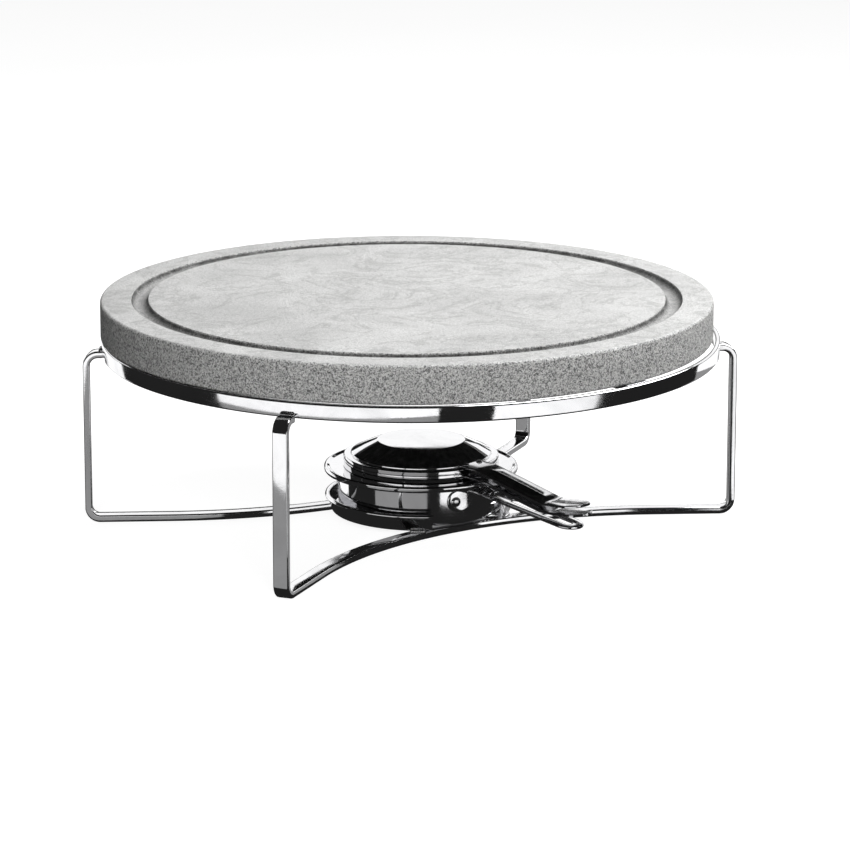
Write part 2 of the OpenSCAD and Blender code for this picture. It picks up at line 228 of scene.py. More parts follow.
def joined(name, pieces):
    """One object out of several finished ones."""
    work = bmesh.new()
    for piece in pieces:
        work.from_mesh(piece.data)
    mesh = bpy.data.meshes.new(name)
    work.to_mesh(mesh)
    work.free()
    for piece in pieces:
        old = piece.data
        bpy.data.objects.remove(piece)
        bpy.data.meshes.remove(old)
    result = bpy.data.objects.new(name, mesh)
    bpy.context.scene.collection.objects.link(result)
    return result


def cut_through(piece, cutter):
    """Takes the cutter out of the piece and applies the result."""
    step = piece.modifiers.new("Holes", "BOOLEAN")
    step.operation = "DIFFERENCE"
    step.solver = "EXACT"
    step.object = cutter
    depsgraph = bpy.context.evaluated_depsgraph_get()
    mesh = bpy.data.meshes.new_from_object(piece.evaluated_get(depsgraph))
    piece.modifiers.clear()
    old = piece.data
    piece.data = mesh
    mesh.name = piece.name
    bpy.data.meshes.remove(old)
    mesh.shade_smooth()
    mesh.set_sharp_from_angle(angle=math.radians(32))
    spare = cutter.data
    bpy.data.objects.remove(cutter)
    bpy.data.meshes.remove(spare)


def vent_cutter(low, high):
    """Upright pins on a circle, for the air holes."""
    pins = []
    for i in range(VENT_COUNT):
        centre = polar(VENT_CIRCLE_R, HANDLE_TURN + 360 * i / VENT_COUNT, BURNER)
        pins.append(turned("Vent_Pin", [(0, low), (VENT_R, low), (VENT_R, high), (0, high)],
                           centre, steps=40))
    return joined("Vent_Cutter", pins)


def mounted(piece, body, slot, material, *nodes):
    """Gives a piece its material and its body, and hides the CAD nodes that it stands for; the
    finish slot is not used.
    """
    piece.data.materials.clear()
    piece.data.materials.append(material)
    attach(piece, body)
    if nodes:
        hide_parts(*nodes)
    return piece


# ------------------------------------------------------------- shader building

def add(tree, kind, at, **values):
    """Node with its properties and input values set by name."""
    made = tree.nodes.new(kind)
    made.location = (at[0] * 200, at[1] * -180)
    for key, value in values.items():
        if key in made.inputs:
            made.inputs[key].default_value = value
        else:
            setattr(made, key, value)
    return made


def blended(tree, at, kind, first, second, factor):
    """Colour mix of two sockets or colours; gives the mixed colour socket."""
    mix = add(tree, "ShaderNodeMix", at, data_type="RGBA", blend_type=kind)
    for socket, value in ((mix.inputs[6], first), (mix.inputs[7], second), (mix.inputs[0], factor)):
        if isinstance(value, bpy.types.NodeSocket):
            tree.links.new(value, socket)
        else:
            socket.default_value = value
    return mix.outputs[2]


def ranged(tree, at, value, low, high, to_low, to_high):
    """Value moved from one range to another, clamped."""
    step = add(tree, "ShaderNodeMapRange", at)
    for index, number in enumerate((low, high, to_low, to_high), 1):
        step.inputs[index].default_value = number
    tree.links.new(value, step.inputs[0])
    return step.outputs[0]


def combined(tree, at, operation, first, second):
    """Math on sockets or numbers."""
    step = add(tree, "ShaderNodeMath", at, operation=operation)
    for socket, value in zip(step.inputs, (first, second)):
        if isinstance(value, bpy.types.NodeSocket):
            tree.links.new(value, socket)
        else:
            socket.default_value = value
    return step.outputs[0]


def new_group(name, numbers, outputs):
    """Shader node group with float inputs and float outputs."""
    tree = bpy.data.node_groups.new(name, "ShaderNodeTree")
    for label, value in numbers.items():
        socket = tree.interface.new_socket(label, in_out="INPUT", socket_type="NodeSocketFloat")
        socket.default_value = value
    for label in outputs:
        tree.interface.new_socket(label, in_out="OUTPUT", socket_type="NodeSocketFloat")
    return tree, add(tree, "NodeGroupInput", (-4, 0)), add(tree, "NodeGroupOutput", (6, 0))


def polish_haze_group():
    """Smears, wiping marks and fine pits of a plated or polished metal."""
    if "Polish Haze" in bpy.data.node_groups:
        return bpy.data.node_groups["Polish Haze"]
    tree, given, out = new_group("Polish Haze", {"Low": 0.05, "High": 0.16, "Smear Scale": 30.0},
                                 ("Roughness", "Height", "Mask"))
    place = add(tree, "ShaderNodeTexCoord", (-4, 2)).outputs["Object"]
    smear = add(tree, "ShaderNodeTexNoise", (-2, 0), Detail=5.0, Roughness=0.6, Distortion=0.8)
    tree.links.new(place, smear.inputs["Vector"])
    tree.links.new(given.outputs["Smear Scale"], smear.inputs["Scale"])
    stretch = add(tree, "ShaderNodeMapping", (-3, 2))
    stretch.inputs["Scale"].default_value = (420.0, 520.0, 3200.0)
    tree.links.new(place, stretch.inputs["Vector"])
    wipe = add(tree, "ShaderNodeTexNoise", (-2, 2), Scale=1.0, Detail=4.0, Roughness=0.65)
    tree.links.new(stretch.outputs["Vector"], wipe.inputs["Vector"])
    pits = add(tree, "ShaderNodeTexNoise", (-2, 4), Scale=2600.0, Detail=2.0)
    tree.links.new(place, pits.inputs["Vector"])
    smeared = ranged(tree, (0, 0), smear.outputs["Fac"], 0.42, 0.68, 0.0, 1.0)
    wiped = ranged(tree, (0, 2), wipe.outputs["Fac"], 0.52, 0.72, 0.0, 1.0)
    mask = combined(tree, (1, 1), "MAXIMUM", combined(tree, (0.5, 1), "MULTIPLY", wiped, 0.45),
                    smeared)
    spread = combined(tree, (2, 0), "SUBTRACT", given.outputs["High"], given.outputs["Low"])
    rough = combined(tree, (4, 0), "ADD", given.outputs["Low"],
                     combined(tree, (3, 0), "MULTIPLY", spread, mask))
    height = combined(tree, (4, 2), "ADD", combined(tree, (3, 2), "MULTIPLY", wiped, 0.6),
                      combined(tree, (3, 3), "MULTIPLY", pits.outputs["Fac"], 0.4))
    tree.links.new(rough, out.inputs["Roughness"])
    tree.links.new(height, out.inputs["Height"])
    tree.links.new(mask, out.inputs["Mask"])
    return tree


def settled_dust_group():
    """Mask of the faint dust and ash that lies on faces that look up."""
    if "Settled Dust" in bpy.data.node_groups:
        return bpy.data.node_groups["Settled Dust"]
    tree, given, out = new_group("Settled Dust", {"Amount": 0.2}, ("Mask",))
    shape = add(tree, "ShaderNodeNewGeometry", (-4, 2))
    split = add(tree, "ShaderNodeSeparateXYZ", (-3, 2))
    tree.links.new(shape.outputs["Normal"], split.inputs[0])
    upward = ranged(tree, (-2, 2), split.outputs["Z"], 0.5, 1.0, 0.0, 1.0)
    place = add(tree, "ShaderNodeTexCoord", (-4, 4)).outputs["Object"]
    specks = add(tree, "ShaderNodeTexNoise", (-3, 4), Scale=900.0, Detail=3.0, Roughness=0.7)
    tree.links.new(place, specks.inputs["Vector"])
    drift = add(tree, "ShaderNodeTexNoise", (-3, 6), Scale=60.0, Detail=2.0)
    tree.links.new(place, drift.inputs["Vector"])
    fine = ranged(tree, (-2, 4), specks.outputs["Fac"], 0.55, 0.75, 0.0, 1.0)
    patch = ranged(tree, (-2, 6), drift.outputs["Fac"], 0.35, 0.65, 0.2, 1.0)
    mask = combined(tree, (0, 3), "MULTIPLY", combined(tree, (-1, 3), "MULTIPLY", upward, fine),
                    patch)
    tree.links.new(combined(tree, (2, 2), "MULTIPLY", mask, given.outputs["Amount"]),
                   out.inputs["Mask"])
    return tree


def fresh_material(name, preview):
    """Material with its Principled shader and output, and nothing else."""
    material = bpy.data.materials.new(name)
    material.use_nodes = True
    material.diffuse_color = (*preview, 1)
    tree = material.node_tree
    tree.nodes.clear()
    shader = add(tree, "ShaderNodeBsdfPrincipled", (8, 0))
    output = add(tree, "ShaderNodeOutputMaterial", (10, 0))
    tree.links.new(shader.outputs[0], output.inputs[0])
    return material, tree, shader


def bumped(tree, shader, height, strength, depth):
    """Bump from a height socket into the shader's normal."""
    bump = add(tree, "ShaderNodeBump", (7, 3), Strength=strength, Distance=depth)
    tree.links.new(height, bump.inputs["Height"])
    tree.links.new(bump.outputs[0], shader.inputs["Normal"])


def plated_metal(name, bright, dull, low, high, dust, bump=0.05, smear=30.0):
    """Polished metal whose gloss varies with wiping marks, haze and dust."""
    if name in bpy.data.materials:
        return bpy.data.materials[name]
    material, tree, shader = fresh_material(name, bright)
    shader.inputs["Metallic"].default_value = 1.0
    haze = add(tree, "ShaderNodeGroup", (2, 0), node_tree=polish_haze_group())
    haze.inputs["Low"].default_value = low
    haze.inputs["High"].default_value = high
    haze.inputs["Smear Scale"].default_value = smear
    settled = add(tree, "ShaderNodeGroup", (2, 3), node_tree=settled_dust_group())
    settled.inputs["Amount"].default_value = dust
    colour = blended(tree, (4, 0), "MIX", (*bright, 1), (*dull, 1), haze.outputs["Mask"])
    colour = blended(tree, (5, 0), "MIX", colour, (0.52, 0.51, 0.50, 1), settled.outputs["Mask"])
    tree.links.new(colour, shader.inputs["Base Color"])
    rough = combined(tree, (5, 2), "ADD", haze.outputs["Roughness"],
                     combined(tree, (4, 3), "MULTIPLY", settled.outputs["Mask"], 0.5))
    tree.links.new(rough, shader.inputs["Roughness"])
    bumped(tree, shader, haze.outputs["Height"], bump, 0.00005)
    return material


def chromed_bar():
    shade = bpy.context.scene.grill_stand.chrome
    return plated_metal("Chromed_Bar", tuple(shade), (0.70, 0.70, 0.71), 0.035, 0.13, 0.15)


def burner_steel():
    shade = bpy.context.scene.grill_burner.steel
    return plated_metal("Polished_Burner_Steel", tuple(shade), (0.71, 0.71, 0.72), 0.035, 0.11, 0.2)


def handle_steel():
    return plated_metal("Pressed_Handle_Steel", (0.62, 0.62, 0.63), (0.50, 0.50, 0.51), 0.06, 0.2,
                        0.15, smear=45.0)


def rivet_steel():
    return plated_metal("Rivet_Steel", (0.72, 0.72, 0.73), (0.55, 0.55, 0.56), 0.08, 0.25, 0.1,
                        smear=160.0)


def weld_metal():
    """Plated weld bead: satin, with darker heat marks between the ripples."""
    return plated_metal("Plated_Weld", (0.64, 0.64, 0.65), (0.38, 0.37, 0.36), 0.16, 0.38, 0.2,
                        bump=0.3, smear=240.0)


def spring_steel():
    return plated_metal("Blued_Spring_Steel", (0.42, 0.43, 0.46), (0.28, 0.28, 0.31), 0.18, 0.36,
                        0.25, bump=0.1, smear=120.0)


def cup_aluminium():
    """Drawn aluminium with soft satin haze."""
    return plated_metal("Drawn_Aluminium", (0.74, 0.74, 0.74), (0.60, 0.60, 0.59), 0.24, 0.42,
                        0.3, bump=0.12, smear=60.0)


def brass_wire():
    """Gauze wire browned by the flame in patches."""
    name = "Browned_Brass_Wire"
    if name in bpy.data.materials:
        return bpy.data.materials[name]
    material, tree, shader = fresh_material(name, (0.6, 0.5, 0.3))
    shader.inputs["Metallic"].default_value = 1.0
    place = add(tree, "ShaderNodeTexCoord", (-2, 0)).outputs["Object"]
    heat = add(tree, "ShaderNodeTexNoise", (0, 0), Scale=70.0, Detail=4.0, Roughness=0.6)
    tree.links.new(place, heat.inputs["Vector"])
    burnt = ranged(tree, (2, 0), heat.outputs["Fac"], 0.4, 0.62, 0.0, 1.0)
    colour = blended(tree, (4, 0), "MIX", (0.62, 0.52, 0.34, 1), (0.22, 0.17, 0.13, 1), burnt)
    tree.links.new(colour, shader.inputs["Base Color"])
    tree.links.new(ranged(tree, (4, 2), burnt, 0.0, 1.0, 0.28, 0.55), shader.inputs["Roughness"])
    return material


def felted_wadding():
    """Mineral wadding: off-white felted fibres with scorched tufts."""
    name = "Felted_Wadding"
    if name in bpy.data.materials:
        return bpy.data.materials[name]
    material, tree, shader = fresh_material(name, (0.85, 0.82, 0.75))
    shader.inputs["Sheen Weight"].default_value = 0.3
    place = add(tree, "ShaderNodeTexCoord", (-2, 0)).outputs["Object"]
    lay = add(tree, "ShaderNodeMapping", (-1, 0))
    lay.inputs["Scale"].default_value = (900.0, 260.0, 700.0)
    tree.links.new(place, lay.inputs["Vector"])
    fibre = add(tree, "ShaderNodeTexNoise", (0, 0), Scale=1.0, Detail=6.0, Roughness=0.7,
                Distortion=2.5)
    tree.links.new(lay.outputs["Vector"], fibre.inputs["Vector"])
    tuft = add(tree, "ShaderNodeTexNoise", (0, 2), Scale=90.0, Detail=3.0)
    tree.links.new(place, tuft.inputs["Vector"])
    strands = ranged(tree, (2, 0), fibre.outputs["Fac"], 0.35, 0.65, 0.0, 1.0)
    scorched = ranged(tree, (2, 2), tuft.outputs["Fac"], 0.52, 0.75, 0.0, 0.7)
    colour = blended(tree, (4, 0), "MIX", (0.62, 0.58, 0.50, 1), (0.88, 0.86, 0.80, 1), strands)
    colour = blended(tree, (5, 0), "MIX", colour, (0.30, 0.25, 0.20, 1), scorched)
    tree.links.new(colour, shader.inputs["Base Color"])
    tree.links.new(ranged(tree, (4, 2), strands, 0.0, 1.0, 0.95, 0.8), shader.inputs["Roughness"])
    bumped(tree, shader, fibre.outputs["Fac"], 0.8, 0.0006)
    return material


def painted_groove_shade(tree, place, slope):
    """Mask of painted shade in the juice groove, strongest on its steep walls and broken into
    blotches.
    """
    low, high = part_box("stone_plate")
    split = add(tree, "ShaderNodeSeparateXYZ", (-5, 8))
    tree.links.new(place, split.inputs[0])
    sunk = ranged(tree, (-3, 8), split.outputs["Z"], high[2] - 0.0001, high[2] - 0.0009, 0.0, 1.0)
    flat = add(tree, "ShaderNodeCombineXYZ", (-4, 9))
    tree.links.new(combined(tree, (-4.5, 9), "SUBTRACT", split.outputs["X"],
                            (low[0] + high[0]) / 2), flat.inputs[0])
    tree.links.new(split.outputs["Y"], flat.inputs[1])
    reach = add(tree, "ShaderNodeVectorMath", (-3, 9), operation="LENGTH")
    tree.links.new(flat.outputs[0], reach.inputs[0])
    inside = ranged(tree, (-2, 9), reach.outputs["Value"], 0.141, 0.139, 0.0, 1.0)
    # noise that breaks the painted groove shade into blotches
    groove_shade_noise = add(tree, "ShaderNodeTexNoise", (-3, 10), Scale=120.0, Detail=4.0)
    tree.links.new(place, groove_shade_noise.inputs["Vector"])
    blotch = ranged(tree, (-2, 10), groove_shade_noise.outputs["Fac"], 0.3, 0.6, 0.75, 1.0)
    # painted shade is heaviest on the steep groove walls, where the groove's own shadow falls
    steep = ranged(tree, (-2, 11), slope, 0.95, 0.55, 0.45, 1.0)
    uneven_groove_shade = combined(tree, (-1, 10), "MULTIPLY", blotch, steep)
    return combined(tree, (-1, 9), "MULTIPLY", combined(tree, (-1.5, 8), "MULTIPLY", sunk, inside),
                    uneven_groove_shade)


def honed_stone():
    """Speckled lava stone: sawn grey sides, and a honed top with pale veins."""
    name = "Honed_Speckled_Stone"
    if name in bpy.data.materials:
        return bpy.data.materials[name]
    tones = bpy.context.scene.grill_stone
    material, tree, shader = fresh_material(name, tuple(tones.light_grain))
    place = add(tree, "ShaderNodeTexCoord", (-6, 0)).outputs["Object"]
    split = add(tree, "ShaderNodeSeparateXYZ", (-5, 5))
    shape = add(tree, "ShaderNodeNewGeometry", (-6, 5))
    tree.links.new(shape.outputs["Normal"], split.inputs[0])
    honed = ranged(tree, (-4, 5), split.outputs["Z"], 0.55, 0.95, 0.0, 1.0)

    grain = add(tree, "ShaderNodeTexNoise", (-4, 0), Scale=1500.0, Detail=4.0, Roughness=0.74)
    crystal = add(tree, "ShaderNodeTexVoronoi", (-4, 1.6), Scale=1150.0, Randomness=1.0)
    pit = add(tree, "ShaderNodeTexNoise", (-4, 3), Scale=520.0, Detail=4.0, Roughness=0.6)
    cloud = add(tree, "ShaderNodeTexNoise", (-4, -2), Scale=22.0, Detail=6.0, Roughness=0.62,
                Distortion=0.6)
    vein = add(tree, "ShaderNodeTexNoise", (-4, -4), Scale=24.0, Detail=9.0, Roughness=0.66,
               Distortion=1.6)
    for texture in (grain, crystal, pit, cloud, vein):
        tree.links.new(place, texture.inputs["Vector"])

    speckle = ranged(tree, (-2, 0), grain.outputs["Fac"], 0.39, 0.59, 0.0, 1.0)
    sparkle = add(tree, "ShaderNodeRGBToBW", (-3, 1.6))
    tree.links.new(crystal.outputs["Color"], sparkle.inputs[0])
    bright = ranged(tree, (-2, 1.6), sparkle.outputs[0], 0.66, 0.86, 0.0, 1.0)
    dark = ranged(tree, (-2, 2.6), sparkle.outputs[0], 0.34, 0.16, 0.0, 1.0)
    hollow = ranged(tree, (-2, 3.4), pit.outputs["Fac"], 0.40, 0.30, 0.0, 1.0)
    line = combined(tree, (-3, -4), "ABSOLUTE",
                    combined(tree, (-3.5, -4), "SUBTRACT", vein.outputs["Fac"], 0.5), 0.0)
    streak = ranged(tree, (-2, -4), line, 0.0, 0.03, 1.0, 0.0)
    patch = ranged(tree, (-2, -2), cloud.outputs["Fac"], 0.32, 0.68, 0.0, 1.0)

    sawn = blended(tree, (0, 0), "MIX", (*tones.dark_grain, 1), (*tones.light_grain, 1), speckle)
    sawn = blended(tree, (1, 0), "MIX", sawn, (0.62, 0.62, 0.60, 1),
                   combined(tree, (0, 1.6), "MULTIPLY", bright, 0.55))
    sawn = blended(tree, (2, 0), "MIX", sawn, (0.045, 0.045, 0.045, 1),
                   combined(tree, (0, 2.6), "MULTIPLY", dark, 0.6))
    top = blended(tree, (1, -3), "MIX", sawn, (*tones.honed_face, 1), 0.55)
    top = blended(tree, (2, -3), "MULTIPLY", top, (0.74, 0.74, 0.74, 1), patch)
    top = blended(tree, (3, -3), "MIX", top, (0.235, 0.235, 0.23, 1),
                  combined(tree, (0, -4), "MULTIPLY", streak, 0.65))
    colour = blended(tree, (4, 0), "MIX", sawn, top, honed)
    colour = blended(tree, (5, 0), "MULTIPLY", colour, (0.45, 0.45, 0.45, 1),
                     combined(tree, (4, 1.5), "MULTIPLY", hollow, 0.6))
    # painted shade: the juice groove darkened almost to black in colour, standing in for its shadow
    colour = blended(tree, (6, 0), "MULTIPLY", colour, (0.12, 0.12, 0.118, 1),
                     painted_groove_shade(tree, place, split.outputs["Z"]))
    tree.links.new(colour, shader.inputs["Base Color"])

    rough = combined(tree, (3, 4), "ADD", ranged(tree, (1, 4), honed, 0.0, 1.0, 0.82, 0.50),
                     ranged(tree, (1, 5), speckle, 0.0, 1.0, 0.10, -0.06))
    tree.links.new(rough, shader.inputs["Roughness"])
    relief = combined(tree, (3, 6), "SUBTRACT", combined(tree, (2, 6), "MULTIPLY", speckle, 0.35),
                      hollow)
    depth = ranged(tree, (2, 7), honed, 0.0, 1.0, 1.0, 0.35)
    bumped(tree, shader, combined(tree, (4, 6), "MULTIPLY", relief, depth), 0.55, 0.0004)
    return material


# --------------------------------------------------------------------- settings

class GrillStoneSettings(bpy.types.PropertyGroup):
    """Size and grain of the stone plate."""

    edge: bpy.props.FloatProperty(
        name="Edge rounding", description="Radius of the eased outer edges",
        default=1.5 * MM, min=0.5 * MM, max=4.0 * MM, unit="LENGTH")
    groove_depth: bpy.props.FloatProperty(
        name="Groove depth", description="Depth of the juice groove",
        default=3.5 * MM, min=1.0 * MM, max=5.0 * MM, unit="LENGTH")
    chips: bpy.props.FloatProperty(
        name="Edge chips", description="How deep the small chips along the edges go",
        default=0.35 * MM, min=0.0, max=0.6 * MM, unit="LENGTH")
    light_grain: bpy.props.FloatVectorProperty(
        name="Light grain", description="Colour of the pale mineral grains", subtype="COLOR",
        size=3, min=0.0, max=1.0, default=(0.66, 0.66, 0.65))
    dark_grain: bpy.props.FloatVectorProperty(
        name="Dark grain", description="Colour of the dark mineral grains", subtype="COLOR",
        size=3, min=0.0, max=1.0, default=(0.075, 0.075, 0.075))
    honed_face: bpy.props.FloatVectorProperty(
        name="Honed face", description="Overall colour of the honed top", subtype="COLOR",
        size=3, min=0.0, max=1.0, default=(0.54, 0.54, 0.535))


class GrillStandSettings(bpy.types.PropertyGroup):
    """Finish and edges of the bar stand."""

    bar_edge: bpy.props.FloatProperty(
        name="Bar edge", description="Rounding of the flat bar's long edges",
        default=0.7 * MM, min=0.2 * MM, max=1.5 * MM, unit="LENGTH")
    chrome: bpy.props.FloatVectorProperty(
        name="Chrome", description="Colour of the clean chrome", subtype="COLOR",
        size=3, min=0.0, max=1.0, default=(0.80, 0.80, 0.81))


class GrillBurnerSettings(bpy.types.PropertyGroup):
    """Finish and small parts of the burner."""

    steel: bpy.props.FloatVectorProperty(
        name="Steel", description="Colour of the clean polished steel", subtype="COLOR",
        size=3, min=0.0, max=1.0, default=(0.78, 0.78, 0.79))
    rivet_radius: bpy.props.FloatProperty(
        name="Rivet head", description="Radius of the rivet heads",
        default=2.5 * MM, min=1.5 * MM, max=3.0 * MM, unit="LENGTH")
    gauze_pitch: bpy.props.FloatProperty(
        name="Gauze pitch", description="Distance between the gauze wires",
        default=1.5 * MM, min=1.0 * MM, max=3.0 * MM, unit="LENGTH")


class GrillStageSettings(bpy.types.PropertyGroup):
    """Floor and studio light."""

    floor_colour: bpy.props.FloatVectorProperty(
        name="Floor", description="Colour of the table surface", subtype="COLOR",
        size=3, min=0.0, max=1.0, default=(0.90, 0.90, 0.90))
    overhead: bpy.props.FloatProperty(
        name="Overhead light", description="Power of the large light above", subtype="POWER",
        default=26.5, min=0.0)
    cards: bpy.props.FloatProperty(
        name="Side cards", description="Radiance of the bright side cards", default=1.25, min=0.0)


# --------------------------------------------------------------------- operators

class GRILL_OT_stage(bpy.types.Operator):
    """Floor, camera and soft studio lights"""

    bl_idname = "grill.stage"
    bl_label = "Stage"

    def execute(self, context):
        settings = context.scene.grill_stage
        self.floor(settings)
        self.camera(context)
        self.lights(settings)
        return {"FINISHED"}

    def floor(self, settings):
        """Wide pale table surface, a hair below the bars, with a faint mottle."""
        half = 6000.0
        low = CAD_BOX[0][2] / MM - 0.05
        corners = [(-half, -half, low), (half, -half, low), (half, half, low), (-half, half, low)]
        floor = finished_piece("Studio_Floor", corners, [(0, 1, 2, 3)], smooth=False)
        material, tree, shader = fresh_material("Pale_Table", tuple(settings.floor_colour))
        place = add(tree, "ShaderNodeTexCoord", (0, 0)).outputs["Object"]
        mottle = add(tree, "ShaderNodeTexNoise", (2, 0), Scale=5.0, Detail=3.0)
        tree.links.new(place, mottle.inputs["Vector"])
        shade = tuple(settings.floor_colour)
        colour = blended(tree, (4, 0), "MIX", (*(0.985 * c for c in shade), 1), (*shade, 1),
                         mottle.outputs["Fac"])
        dim = blended(tree, (5, 1), "MULTIPLY", colour, (0.35, 0.35, 0.35, 1), 1.0)
        tree.links.new(dim, shader.inputs["Base Color"])
        tree.links.new(colour, shader.inputs["Emission Color"])
        shader.inputs["Emission Strength"].default_value = 1.0
        shader.inputs["Roughness"].default_value = 0.9
        floor.data.materials.append(material)
        floor.visible_glossy = False
        floor.visible_diffuse = False

    def camera(self, context):
        """Long lens, level with a diner who looks down a little."""
        data = bpy.data.cameras.new("Grill_Camera")
        data.sensor_width = 36.0
        data.lens = 171.66
        data.shift_x, data.shift_y = 0.0213, -0.0078
        data.clip_start, data.clip_end = 0.05, 60.0
        camera = bpy.data.objects.new("Grill_Camera", data)
        camera.location = (-0.002, -1.9412, 0.5312)
        aim = Vector((-0.002, 0.0, 0.05)) - camera.location
        camera.rotation_mode = "QUATERNION"
        camera.rotation_quaternion = aim.to_track_quat("-Z", "Y")
        context.scene.collection.objects.link(camera)
        context.scene.camera = camera
        context.scene.view_settings.view_transform = "Standard"

    def lights(self, settings):
        """Overhead and back lights, bright cards in front and behind, and a dark room."""
        world = bpy.data.worlds.new("Dark_Room")
        world.use_nodes = True
        world.node_tree.nodes["Background"].inputs[0].default_value = (0.018, 0.018, 0.018, 1)
        bpy.context.scene.world = world
        self.card("Overhead_Light", (0.62, 0.18, 0.97), (0.03, 0.0, 0.1), 1.0, 1.2,
                  power=settings.overhead)
        fill = self.card("Front_Fill", (-0.08, -1.45, 0.62), (0.0, 0.0, 0.09), 0.8, 0.6, 11.5)
        fill.visible_glossy = False
        self.card("Back_Card", (0.0, 1.3, 0.56), (0.0, 0.0, 0.40), 3.2, 0.62, 1.15)
        for name, place, aim, width, height, radiance in (
                ("Left_Card", (-0.197, -0.388, 0.0275), (-0.049, -0.127, 0.0275), 0.64, 0.085,
                 settings.cards),
                ("Low_Card", (-0.197, -0.388, -0.0950), (-0.049, -0.127, -0.0950), 0.64, 0.160,
                 0.30),
                ("Right_Card", (0.3535, -0.3705, -0.020), (0.135, -0.165, -0.020), 0.334, 0.20,
                 settings.cards)):
            self.card(name, place, aim, width, height, radiance).visible_diffuse = False
            behind = self.card("Rear_" + name, (-place[0], -place[1], place[2]),
                               (-aim[0], -aim[1], aim[2]), width, height, radiance)
            behind.visible_diffuse = False

    def card(self, name, place, aim, width, height, radiance=None, power=None):
        """Soft rectangular light that the camera doesn't see."""
        data = bpy.data.lights.new(name, "AREA")
        data.shape = "RECTANGLE"
        data.size, data.size_y = width, height
        data.energy = power if power is not None else radiance * math.pi * width * height
        lamp = bpy.data.objects.new(name, data)
        lamp.location = place
        lamp.rotation_mode = "QUATERNION"
        lamp.rotation_quaternion = (Vector(aim) - Vector(place)).to_track_quat("-Z", "Y")
        lamp.visible_camera = False
        bpy.context.scene.collection.objects.link(lamp)
        return lamp


class GRILL_OT_stone(bpy.types.Operator):
    """Round stone plate with a juice groove and slightly chipped edges"""

    bl_idname = "grill.stone"
    bl_label = "Stone plate"

    def execute(self, context):
        settings = context.scene.grill_stone
        low, high = box_mm("stone_plate")
        radius = (high.x - low.x) / 2
        axis = ((low.x + high.x) / 2, (low.y + high.y) / 2)
        depth, half, edge = settings.groove_depth / MM, GROOVE_HALF_W, settings.edge / MM
        round_r = (depth * depth + half * half) / (2 * depth)
        groove = radius - GROOVE_MARGIN - half
        span = math.degrees(math.asin(half / round_r))
        hollow = arc((groove, high.z - depth + round_r), round_r, -90 + span, -90 - span, 14)
        rows = [(0, low.z, 0), (radius * 0.5, low.z, 0), (radius, low.z, edge),
                (radius, low.z * 0.5 + high.z * 0.5, 0), (radius, high.z, edge),
                (groove + half + 0.3, high.z, 0)]
        rows += [(r, z - 0.03 if 0 < i < 14 else z, 0) for i, (r, z, _) in enumerate(hollow)]
        rows += [(groove - half - 0.3, high.z, 0), (groove * 0.66, high.z, 0),
                 (groove * 0.33, high.z, 0), (0, high.z, 0)]
        plate = turned("Stone_Plate", eased(rows, 6), axis, steps=720, crease=50.0)
        self.chip(plate, axis, radius, low.z, high.z, settings.chips / MM)
        mounted(plate, "stone", "stone", honed_stone(), "stone_plate")
        return {"FINISHED"}

    def chip(self, plate, axis, radius, low, high, depth):
        """Pulls the outer edges inward where the sawn stone has crumbled."""
        for vert in plate.data.vertices:
            x, y, z = vert.co / MM
            out = math.hypot(x - axis[0], y - axis[1])
            near = min(abs(z - low), abs(z - high))
            if out < radius - 2.5 or near > 2.0:
                continue
            rough = noise.noise(Vector((x, y, z)) * 0.35) * 0.6 + noise.noise(
                Vector((x, y, z)) * 1.1) * 0.6
            share = 1.8 if abs(z - high) < abs(z - low) else 0.2
            bite = depth * max(0.0, rough - 0.12) * (1 - near / 2.0) * share
            scale = 1 - bite / out
            vert.co.x = (axis[0] + (x - axis[0]) * scale) * MM
            vert.co.y = (axis[1] + (y - axis[1]) * scale) * MM


def bar_frames(turn):
    """Middle line of one bent bar: (point, across, up) from one leg's top to the other's."""
    low, high = box_mm("front_bar")
    bend = BAR_BEND_R + BAR_T / 2
    corner_r = LEG_R - BAR_BEND_R - BAR_T
    stub_z = high.z - BAR_T / 2
    foot_z = low.z + BAR_T / 2
    sweep_start = SWEEP_R / math.tan(math.radians(LEG_HALF_ANGLE))
    up = Vector((0, 0, 1))

    def leg(angle):
        """Ring end to sweep end, as (radius, height) with the travel direction."""
        spots = [(RING_R - 0.3, stub_z, 0.0)]
        spots += [(corner_r + bend * math.sin(math.radians(a)),
                   stub_z - bend + bend * math.cos(math.radians(a)), -a) for a in range(0, 91, 9)]
        spots += [(corner_r + bend * math.cos(math.radians(a)),
                   foot_z + bend - bend * math.sin(math.radians(a)), -90 - a)
                  for a in range(0, 91, 9)]
        spots += [(corner_r - (corner_r - sweep_start) * k / 4, foot_z, -180) for k in range(1, 4)]
        out = Vector((math.cos(math.radians(angle)), math.sin(math.radians(angle)), 0))
        frames = []
        for radius, height, tilt in spots:
            travel = out * math.cos(math.radians(tilt)) + up * math.sin(math.radians(tilt))
            frames.append((out * radius + up * height, travel))
        return out, frames

    first_out, first = leg(turn - LEG_HALF_ANGLE)
    second_out, second = leg(turn + LEG_HALF_ANGLE)
    across_first = up.cross(-first_out)
    across_second = up.cross(second_out)
    frames = [(p, across_first, across_first.cross(t)) for p, t in first]
    middle = Vector((*polar(SWEEP_CENTRE, turn), foot_z))
    sweep = 180 - 2 * LEG_HALF_ANGLE
    for k in range(0, 65):
        angle = turn + 180 + sweep / 2 - sweep * k / 64
        spoke = Vector((*polar(1.0, angle), 0))
        frames.append((middle + spoke * SWEEP_R, spoke, spoke.cross(spoke.cross(up))))
    frames += [(p, across_second, -across_second.cross(t)) for p, t in reversed(second)]
    return frames


